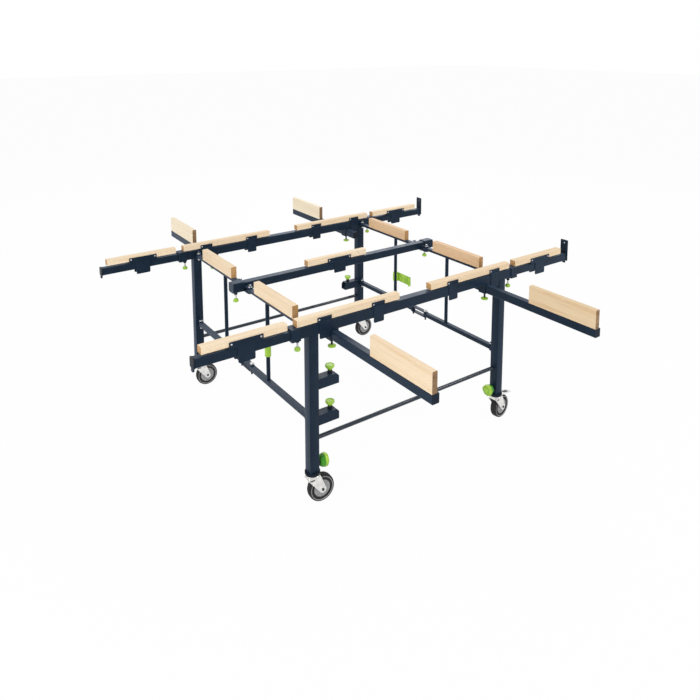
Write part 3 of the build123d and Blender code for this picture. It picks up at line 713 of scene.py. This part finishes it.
def brake_lever_model():
    """The bent foot lever with its slot, its three holes and its black grip ridges."""
    lever = plate((0, -13 * MM, 100.7 * MM), (50.5 * MM, 13 * MM, 103.7 * MM))
    bpy.ops.object.mode_set(mode="EDIT")
    pick_faces(lambda c, n: n.x > 0.9)
    down = sin(radians(13))
    along = cos(radians(13))
    bpy.ops.mesh.extrude_region_move(TRANSFORM_OT_translate={"value": (4 * MM, 0, -0.5 * MM)})
    for step, width in ((20, 1.0), (18, 1.0), (8, 0.94), (5, 0.80), (2.5, 0.62)):
        move = {"value": (step * along * MM, 0, -step * down * MM)}
        bpy.ops.mesh.extrude_region_move(TRANSFORM_OT_translate=move)
        bpy.ops.transform.resize(value=(1, width, 1), center_override=(0, 0, 0))
    close_edit()
    slot = plate((90 * MM, -6 * MM, 80 * MM), (97 * MM, 6 * MM, 110 * MM))
    soften(slot, 3 * MM, 6)
    holes = [slot]
    for x in (62, 71, 80):
        hole = turned(in_mm([(2.4, 80), (2.4, 112)]), sides=24)
        holes.append(move_piece(hole, (x * MM, 0, 0)))
    cut(lever, *holes)
    soften(lever, 0.5 * MM)
    ridges = []
    for x in (58, 67, 76, 84):
        ridge = turned(in_mm([(1.9, -9), (2.3, -8.5), (2.3, 8.5), (1.9, 9)]), sides=16)
        turn_piece(ridge, ("X", 90))
        place = (x * MM, 0, (103.2 - (x - 50.5) * down / along) * MM)
        ridges.append(move_piece(ridge, place))
    set_material(lever, zinc_plate)
    for ridge in ridges:
        set_material(ridge, black_plastic)
    return join(lever, *ridges)


def build_casters():
    """Tyre, disc and fork at each corner, turned as the casters rest."""
    tyre, disc = tyre_model(), disc_model()
    for model in (tyre, disc):
        turn_piece(model, ("X", 90))
        move_piece(model, (WHEEL_X, 0, WHEEL_Z))
    forks = {braked: fork_model(braked) for braked in (False, True)}
    for corner, (side_x, side_y) in CORNERS.items():
        fork_body, wheel_body = corner + "_caster_fork", corner + "_wheel"
        work = ((tyre, "_tyre", wheel_body, "tyre"), (disc, "_wheel_disc", wheel_body, "tyre"),
                (forks[corner in BRAKED], "_fork", fork_body, "zinc"))
        for model, ending, body, slot in work:
            piece = turn_piece(copy_of(model), ("Z", SWIVEL_TURN[corner]))
            move_piece(piece, (side_x * LEG_X, side_y * LEG_Y, 0))
            finish_piece(piece, corner + ending, body, slot, body)
    drop(tyre, disc, *forks.values())


# Knobs
def leg_knob_model():
    """The big clamp knob about Z, with z = 0 at the face of the leg."""
    neck = turned(in_mm([(11.0, 0.4), (12.0, 1.2), (12.0, 8.0), (9.0, 9.0), (9.0, 16.0)]), sides=40)
    set_material(neck, black_plastic)
    screw = turned(in_mm([(3.4, -1.9), (4.0, -1.2), (4.0, 9.0)]), sides=24)
    set_material(screw, pin_steel)
    skirt = [(12.2, 6.4), (16.5, 8.0), (21.0, 11.0), (24.6, 15.5), (26.6, 21.5), (27.4, 26.2)]
    back = lobed(in_mm(skirt))
    # Painted shade: the skirt at the back of the knob, towards the leg, takes the dark green
    set_material(back, painted_shade_green)
    face = [(27.3, 26.0), (28.6, 26.8), (29.0, 28.6), (29.0, 34.6), (28.3, 37.4), (26.4, 39.4),
            (23.5, 40.5), (20.6, 40.9), (19.8, 40.4), (15.0, 40.2), (13.6, 40.9), (6.0, 41.2)]
    grip = lobed(in_mm(face))
    set_material(grip, green_plastic)
    # Painted shade: the faces of the groove in the knob's face take a darker green
    grip.data.materials.append(painted_groove_shade)
    for face in grip.data.polygons:
        if face.center.z > 40.0 * MM and 12.5 * MM < face.center.to_2d().length < 19.5 * MM:
            face.material_index = 1
    grip = join(grip, back)
    ribs = []
    for index in range(12):
        rib = plate((11 * MM, -0.7 * MM, 7.5 * MM), (22.6 * MM, 0.7 * MM, 25.5 * MM))
        take(rib)
        bpy.ops.object.mode_set(mode="EDIT")
        pick_points(lambda p: p.x > 15 * MM and p.z < 15 * MM)
        bpy.ops.transform.translate(value=(-7.0 * MM, 0, 0))
        close_edit()
        soften(rib, 0.3 * MM)
        ribs.append(turn_piece(rib, ("Z", 30 * index + 15)))
    ribs = join(*ribs)
    # Painted shade: the ribs behind the skirt take the dark green too
    set_material(ribs, painted_shade_green)
    return smooth(join(grip, neck, screw, ribs), 38)


def build_leg_knobs():
    """The four flared knobs on the inner sides of the legs."""
    model = leg_knob_model()
    for corner, (side_x, side_y) in CORNERS.items():
        knob = turn_piece(copy_of(model), ("Y", -90 * side_x))
        move_piece(knob, (side_x * (LEG_X - LEG_SIZE / 2), side_y * LEG_Y, LEG_KNOB_Z))
        finish_piece(knob, corner + "_clamp_knob", corner + "_leg_knob", "green", corner + "_leg_knob")
    drop(model)


def stem_and_boss(boss, stem, stem_material):
    """A black boss (radius, height) with its threaded stem (radius, top, end), from z = 0 down."""
    radius, height = boss
    foot = turned(in_mm([(radius, 0), (radius, -(height - 0.8)), (radius - 0.8, -height)]), sides=32)
    set_material(foot, black_plastic)
    width, top, end = stem
    rings = [(width, -top)]
    for z in range(int(top) + 1, int(end), 2):
        rings += [(width, -z), (width - THREAD_DEPTH, -(z + 0.5)), (width, -(z + 1))]
    rings.append((width, -end))
    rod = turned(in_mm(rings), sides=24)
    set_material(rod, stem_material)
    return join(foot, rod)


def rail_knob_model():
    """The small mushroom knob that hangs from z = 0."""
    boss = stem_and_boss((7.0, 12.0), (3.5, 12.0, 30.0), pin_steel)
    profile = [(5.7, 28.0), (6.2, 28.8), (7.6, 30.6), (9.8, 33.2), (10.8, 35.6), (11.0, 37.6),
               (10.9, 39.4), (10.2, 41.2), (8.6, 42.8), (6.4, 43.7), (3.0, 44.0)]
    head = turned(in_mm([(r, -z) for r, z in profile]), sides=36)
    set_material(head, green_plastic)
    return smooth(join(boss, head), 38)


def arm_knob_model():
    """The flat knob under an arm strap, from z = 0 down."""
    boss = stem_and_boss((8.0, 2.0), (4.0, 2.0, 24.0), black_plastic)
    profile = [(7.8, 22.0), (9.0, 23.0), (13.2, 24.2), (14.6, 25.6), (15.0, 27.4), (14.8, 29.4),
               (13.6, 31.0), (11.6, 31.8), (10.8, 31.4), (4.0, 31.2)]
    head = turned(in_mm([(r, -z) for r, z in profile]), sides=60)
    take(head)
    bpy.ops.object.mode_set(mode="EDIT")

    def scallop(centre, normal):
        around = int((pi + atan2(centre.y, centre.x)) / (2 * pi) * 60)
        return -29.4 * MM < centre.z < -24.4 * MM and centre.to_2d().length > 13.5 * MM and around % 5 == 0
    pick_faces(scallop)
    bpy.ops.mesh.inset(thickness=0.3 * MM, depth=-0.7 * MM)
    close_edit()
    set_material(head, green_plastic)
    return smooth(join(boss, head), 38)


def socket_knob_model():
    """The bowl-shaped knob on a transport socket, from z = 0 up."""
    foot = turned(in_mm([(9.0, 0), (9.0, 2.6), (8.4, 3.0), (8.0, 3.2), (8.0, 16.0)]), sides=36)
    set_material(foot, black_plastic)
    profile = [(8.9, 15.0), (10.2, 17.0), (13.4, 20.0), (15.8, 23.0), (16.8, 25.6), (17.0, 28.0),
               (16.8, 30.0), (16.0, 31.4), (14.6, 32.0), (13.4, 31.6), (12.6, 30.4), (5.0, 30.0)]
    bowl = turned(in_mm(profile), sides=48)
    set_material(bowl, green_plastic)
    return smooth(join(foot, bowl), 38)


def build_small_knobs():
    """The knobs under the rails, the arm straps and the beam, and on the sockets."""
    rail_knob, arm_knob, socket_knob = rail_knob_model(), arm_knob_model(), socket_knob_model()
    for name, side in (("front", -1), ("back", 1)):
        node, body, y = name + "_clamp_knobs", name + "_frame", side * LEG_Y
        for label, x in (("left", -526), ("right", 526)):
            knob = move_piece(copy_of(rail_knob), (x * MM, y, RAIL_KNOB_Z))
            finish_piece(knob, name + "_" + label + "_rail_knob", body, "green", node)
        for label, x in (("left", -384.4), ("right", 384.4)):
            knob = move_piece(copy_of(arm_knob), (x * MM, y, ARM_KNOB_Z))
            finish_piece(knob, name + "_" + label + "_arm_knob", body, "green", node)
        for label, z in SOCKET_TOPS:
            knob = move_piece(copy_of(socket_knob), (side * 394 * MM, y, z))
            finish_piece(knob, name + "_" + label + "_socket_knob", body, "green", node)
    for label, x in (("left", -512), ("right", 498)):
        knob = move_piece(copy_of(rail_knob), (x * MM, 0, CENTRE_KNOB_Z))
        finish_piece(knob, "centre_" + label + "_knob", "centre", "green", "centre_clamp_knobs")
    drop(rail_knob, arm_knob, socket_knob)


# Transport hooks
def hook_model():
    """The moulded hook about its post, its tongue along +Y and its lip along +X, from z = 0 up."""
    ring = turned_ring(in_mm([(8.3, 0), (12.2, 0), (12.8, 0.6), (12.8, 44.4), (12.2, 45),
                              (8.3, 45)]), sides=48)
    mouth = plate((-14 * MM, -20 * MM, -1 * MM), (14 * MM, -5.6 * MM, 46 * MM))
    ring = cut(ring, turn_piece(mouth, ("Z", 141)))
    soften(ring, 0.5 * MM)
    tongue = plate((-12.8 * MM, 0, 0), (-10.8 * MM, 105.8 * MM, 45 * MM))
    lip = plate((-12.8 * MM, 103.8 * MM, 0), (3.2 * MM, 105.8 * MM, 45 * MM))
    soften(lip, 0.7 * MM)
    soften(tongue, 0.7 * MM)
    pieces = [ring, tongue, lip]
    for y0, y1 in ((13, 16), (20, 22), (83, 85)):
        rib = plate((-11.2 * MM, y0 * MM, 1 * MM), (-9.0 * MM, y1 * MM, 44 * MM))
        pieces.append(soften(rib, 0.6 * MM))
    for piece in pieces:
        set_material(piece, green_plastic)
    # Painted shade: thin dark green sheets on the tongue, a dark line between the first two ribs and a
    # dark band in the corner before the lip
    for y0, y1 in ((16.5, 19.5), (92, 101)):
        painted_shade_sheet = plate((-10.9 * MM, y0 * MM, 1.5 * MM), (-10.6 * MM, y1 * MM, 43.5 * MM))
        soften(painted_shade_sheet, 0.1 * MM)
        set_material(painted_shade_sheet, painted_shade_green)
        pieces.append(painted_shade_sheet)
    hook = join(*pieces)
    return smooth(hook, 35)


def build_hooks():
    """The two hooks; the front left one is drawn turned and raised from its solid."""
    model = hook_model()
    for name, side, turn, lift in (("left_front", -1, -36, 8 * MM), ("right_back", 1, 180, 0)):
        hook = turn_piece(copy_of(model), ("Z", turn))
        move_piece(hook, (side * LEG_X, side * POST_Y, HOOK_Z + lift))
        finish_piece(hook, name + "_transport_hook", name + "_hook", "green", name + "_hook")
    drop(model)


# Legs
def leg_model():
    """The square outer tube of a leg about Z, with its slim black foot ring, in its own height."""
    column = plate((-19 * MM, -19 * MM, 118 * MM), (19 * MM, 19 * MM, 636.98 * MM))
    bpy.ops.object.mode_set(mode="EDIT")
    pick_edges(lambda a, b: abs(a.x - b.x) < MM and abs(a.y - b.y) < MM)
    bpy.ops.mesh.bevel(offset=3 * MM, segments=4, profile=0.5)
    close_edit()
    cut(column, plate((-16.9 * MM, -16.9 * MM, 100 * MM), (16.9 * MM, 16.9 * MM, 560 * MM)))
    set_material(column, navy_coat)
    foot = turned(in_mm([(24.6, 112.4), (26.8, 113.0), (27.8, 114.6), (28.0, 117.0), (28.0, 122.6),
                         (27.6, 123.6), (26.8, 124.0)]), sides=64)
    cut(foot, plate((-16.9 * MM, -16.9 * MM, 100 * MM), (16.9 * MM, 16.9 * MM, 140 * MM)))
    set_material(foot, black_plastic)
    return smooth(join(column, foot), 35)


def tie_rod_model():
    """The rod between two legs with a weld bead at each end, about X at its own height."""
    rod = turned(in_mm([(TIE_ROD_R, x) for x in (-451.2, -300, -150, 0, 150, 300, 451.2)]), sides=32)
    set_material(rod, rod_coat)
    beads = []
    for side in (-1, 1):
        bead = turn_piece(weld_model(TIE_ROD_R), ("X", 180 if side > 0 else 0))
        beads.append(move_piece(bead, (0, 0, side * 451 * MM)))
    rod = join(rod, *beads)
    turn_piece(rod, ("Y", 90))
    return smooth(move_piece(rod, (0, 0, TIE_ROD_Z)), 40)


def build_legs():
    """Four outer legs and the two rods between them."""
    leg, rod = leg_model(), tie_rod_model()
    for name, side in (("front", -1), ("back", 1)):
        node, body = name + "_leg_frame", name + "_frame"
        for label, x in (("left", -LEG_X), ("right", LEG_X)):
            column = move_piece(copy_of(leg), (x, side * LEG_Y, 0))
            finish_piece(column, name + "_" + label + "_leg", body, "navy", node)
        finish_piece(move_piece(copy_of(rod), (0, side * LEG_Y, 0)), name + "_tie_rod", body, "navy", node)
    drop(leg, rod)


# Screws and pins
def screw_model():
    """A pan-head screw about Z, its cross recess cut from the top, seated at z = 0."""
    head = turned(in_mm([(3.3, -0.2), (3.4, 0.4), (3.0, 1.2), (2.0, 1.75), (0.8, 1.9)]), sides=24)
    slots = [plate((-1.9 * MM, -0.3 * MM, 1.0 * MM), (1.9 * MM, 0.3 * MM, 3.0 * MM)),
             plate((-0.3 * MM, -1.9 * MM, 1.0 * MM), (0.3 * MM, 1.9 * MM, 3.0 * MM))]
    cut(head, *slots)
    set_material(head, pin_steel)
    return smooth(head, 35)


def pin_head_model():
    """The bright domed head of a pivot pin on its washer, seated at z = 0."""
    washer = turned(in_mm([(8.6, 0), (8.8, 0.3), (8.8, 1.2), (8.5, 1.5)]), sides=40)
    profile = [(7.6, 1.5), (7.7, 3.0), (7.6, 6.2), (7.0, 8.0), (5.8, 9.3), (4.0, 10.0), (1.6, 10.25)]
    dome = turned(in_mm(profile), sides=40)
    head = join(washer, dome)
    set_material(head, pin_steel)
    return smooth(head, 38)


def nut_model():
    """A hexagon nut on the lower end of a pin, from z = 0 down."""
    nut = turned(in_mm([(6.4, 0), (6.9, -0.5), (6.9, -5.5), (6.2, -6.0)]), sides=6)
    soften(nut, 0.3 * MM)
    thread = turned(in_mm([(3.9, -5.0), (3.9, -8.6), (3.2, -9.2)]), sides=20)
    nut = join(nut, thread)
    set_material(nut, pin_steel)
    return smooth(nut, 30)


def clip_screw_places(x, y, length, both):
    """Where the screws sit on the two cheeks of a slat clip, at both ends or one, as place and side."""
    reach = length / 2 - 8 if both else length / 2 - 7
    places = []
    for side in (-1, 1):
        along = (-reach, reach) if both else (-reach,)
        places += [((x + shift) * MM, (y + side * 17) * MM, CLIP_SCREW_Z, side) for shift in along]
    return places


def place_screws(model, name, body, places):
    """Seat a copy of the screw at each place, facing along Y, and join them as one piece."""
    screws = []
    for x, y, z, side in places:
        screw = turn_piece(copy_of(model), ("X", -90 * side))
        screws.append(move_piece(screw, (x, y, z)))
    finish_piece(join(*screws), name, body, "zinc")


def build_screws():
    """Screws in the cheeks of every slat clip."""
    model = screw_model()
    for name, side in (("front", -1), ("back", 1)):
        places = []
        for x in (-424, -189, 185, 424):
            places += clip_screw_places(x, side * 512, 58, False)
        place_screws(model, name + "_clip_screws", name + "_frame", places)
        for label, x in (("left", -724), ("right", 713)):
            places = clip_screw_places(x, side * 512, 122, True)
            corner = name + "_" + label
            place_screws(model, corner + "_clip_screws", corner + "_extension", places)
    place_screws(model, "centre_clip_screws", "centre", clip_screw_places(-15.5, 0, 122, True))
    drop(model)


def build_pins():
    """Heads and nuts of the pivot pins at the legs and the centre links."""
    head, nut = pin_head_model(), nut_model()
    for name, side in (("front", -1), ("back", 1)):
        pieces = []
        for x in (-LEG_X, LEG_X):
            for z in PIN_HEADS_Z:
                pieces.append(move_piece(copy_of(head), (x, side * PIVOT_Y, z)))
            for z in NUTS_Z:
                pieces.append(move_piece(copy_of(nut), (x, side * PIVOT_Y, z)))
        finish_piece(join(*pieces), name + "_pivot_pins", name + "_frame", "zinc")
    pieces = []
    for x in (-LEG_X, LEG_X):
        for y in (-LINK_Y, LINK_Y):
            for z in PIN_HEADS_Z:
                pieces.append(move_piece(copy_of(head), (x, y, z)))
    finish_piece(join(*pieces), "centre_pivot_pins", "centre", "zinc")
    drop(head, nut)


def weld_model(radius):
    """A weld bead round a bar that meets a face at z = 0, laid in short overlapping steps.

    The bar's radius is in millimetres."""
    bead = turned_ring(in_mm([(radius - 0.5, -0.4), (radius + 2.4, -0.4), (radius + 2.2, 0.9),
                              (radius + 1.2, 2.0), (radius - 0.3, 2.4)]), sides=48)
    take(bead)
    bpy.ops.object.mode_set(mode="EDIT")

    def step(p):
        around = int(round((pi + atan2(p.y, p.x)) / (2 * pi) * 48))
        return around % 3 == 0 and p.z > 0.5 * MM
    pick_points(step)
    bpy.ops.transform.resize(value=(1.03, 1.03, 0.8), center_override=(0, 0, 0.5 * MM))
    close_edit()
    set_material(bead, navy_coat)
    return smooth(bead, 60)


# The carried-over solids
def paint_where(node, test, material):
    """Give the faces of a node whose centre and normal pass a test another finish."""
    node.data.materials.append(material)
    slot = len(node.data.materials) - 1
    for face in node.data.polygons:
        if test(face.center, face.normal):
            face.material_index = slot


# The strips and boards that differ in tone from the others
WOOD_TONES = {"right_front_panel_slat": warm_spruce, "right_back_panel_slat": warm_spruce,
              "front_right_board": mid_spruce, "back_right_board": pale_spruce,
              "back_left_board": pale_spruce}


def dress_slats():
    """Wood on the slats and boards, with end grain on their cut ends; the boards' ends are darker still by
    painted shade.
    """
    for name, node in nodes.items():
        if name.endswith("panel_slat") or name.endswith("board"):
            set_material(node, WOOD_TONES.get(name, spruce_along_y))
            # The boards' ends take end grain with painted shade, the slats' ends the plain end grain
            end = shaded_board_end if name.endswith("board") else spruce_end
            paint_where(node, lambda c, n: abs(n.y) > 0.9, end)
        elif name.endswith("_slat") or name.endswith("_slats"):
            set_material(node, spruce_along_x)
            paint_where(node, lambda c, n: abs(n.x) > 0.9, spruce_end)


def dress_steel():
    """Navy coat on tubes and brackets, black ends on arms and extensions, zinc on the inner legs."""
    for name, node in nodes.items():
        if name.endswith("slat") or name.endswith("slats") or name.endswith("board"):
            continue
        set_material(node, navy_coat)
        if name.endswith("_arm"):
            paint_where(node, lambda c, n: abs(n.y) > 0.95, black_plastic)
        elif name.endswith("_extension"):
            paint_where(node, lambda c, n: abs(c.x) > EXTENSION_CAP_X and abs(c.z - EXTENSION_Z) < 18 * MM,
                        black_plastic)
        elif name.endswith("inner_leg"):
            set_material(node, zinc_tube)


def add_floor():
    """A pale floor that looks nearly white to the camera."""
    bpy.ops.mesh.primitive_plane_add(size=60, location=(0, 0, 0))
    floor = bpy.context.object
    floor.name = "floor"
    material, tree, shader = new_material("pale floor")
    shader.inputs["Base Color"].default_value = PAPER
    shader.inputs["Roughness"].default_value = 0.9
    shader.inputs["Specular IOR Level"].default_value = 0.1
    white = tree.nodes.new("ShaderNodeEmission")
    share = tree.nodes.new("ShaderNodeMath")
    share.operation = "MULTIPLY"
    share.inputs[1].default_value = FLOOR_WHITE_SHARE
    mix = tree.nodes.new("ShaderNodeMixShader")
    tree.links.new(background_rays(tree), share.inputs[0])
    tree.links.new(share.outputs[0], mix.inputs["Fac"])
    tree.links.new(shader.outputs[0], mix.inputs[1])
    tree.links.new(white.outputs[0], mix.inputs[2])
    tree.links.new(mix.outputs[0], tree.nodes["Material Output"].inputs["Surface"])
    set_material(floor, material)


add_camera()
add_light()
dress_slats()
dress_steel()
build_legs()
build_casters()
build_leg_knobs()
build_small_knobs()
build_hooks()
build_screws()
build_pins()
add_floor()
bpy.context.scene.view_settings.view_transform = "Standard"

bpy.context.view_layer.update()
